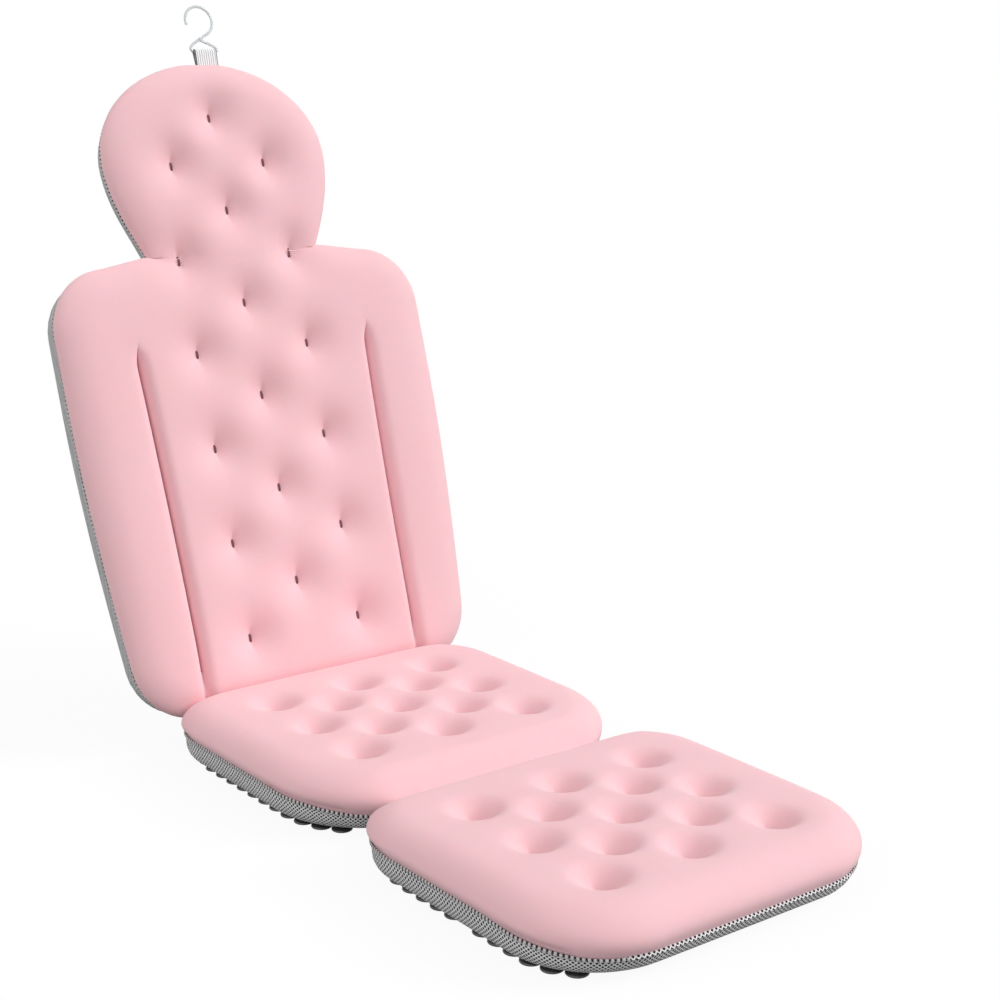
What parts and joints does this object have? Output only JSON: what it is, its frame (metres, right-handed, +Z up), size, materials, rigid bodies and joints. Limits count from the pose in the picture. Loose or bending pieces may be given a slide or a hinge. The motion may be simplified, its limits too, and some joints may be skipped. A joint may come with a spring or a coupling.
{
  "type": "bath pillow",
  "caption": "Full-length quilted bath pillow: back cushion with head rest, seat and leg cushions that fold, mesh underside with suction cups, strap and hanging hook",
  "frame": {"origin": "middle of the mat's bounding box, at the rims of the suction cups it stands on", "axes": "+X across the mat, +Y from the foot to the head, +Z up"},
  "size_m": [0.4146, 0.8516, 0.7062],
  "materials": {
    "quilting": "matte",
    "mesh": "matte",
    "core": "matte",
    "edge_seam": "matte",
    "cup": "satin",
    "strap": "matte",
    "hook": "gloss"
  },
  "bodies": {
    "seat": {"seat_cushion_top": "quilting", "seat_core": "core", "seat_mesh_base": "mesh", "seat_edge_seam": "edge_seam", "seat_cups_left_front": "cup", "seat_cups_left_rear": "cup", "seat_cups_right_front": "cup", "seat_cups_right_rear": "cup", "back_fold_web": "quilting", "leg_fold_web": "quilting"},
    "leg_rest": {"leg_cushion_top": "quilting", "leg_core": "core", "leg_mesh_base": "mesh", "leg_edge_seam": "edge_seam", "leg_cups_left_front": "cup", "leg_cups_left_rear": "cup", "leg_cups_right_front": "cup", "leg_cups_right_rear": "cup", "leg_fold_leaf": "quilting"},
    "back_rest": {"back_cushion_top": "quilting", "back_core": "core", "back_mesh_base": "mesh", "back_edge_seam": "edge_seam", "back_fold_leaf": "quilting", "hanging_strap": "strap"},
    "hook": {"hanging_hook": "hook"}
  },
  "joints": [
    {"name": "back_fold", "type": "hinge", "parent": "seat", "child": "back_rest", "pos_m": [0, 0.20448, 0.028], "axis": [1, 0, 0], "range_deg": [-72, 18]},
    {"name": "leg_fold", "type": "hinge", "parent": "seat", "child": "leg_rest", "pos_m": [0, -0.11152, 0.028], "axis": [-1, 0, 0], "range_deg": [-30, 88]},
    {"name": "hook_swing", "type": "hinge", "parent": "back_rest", "child": "hook", "pos_m": [0, 0.40967, 0.6595], "axis": [1, 0, 0], "range_deg": [-120, 120]}
  ]
}
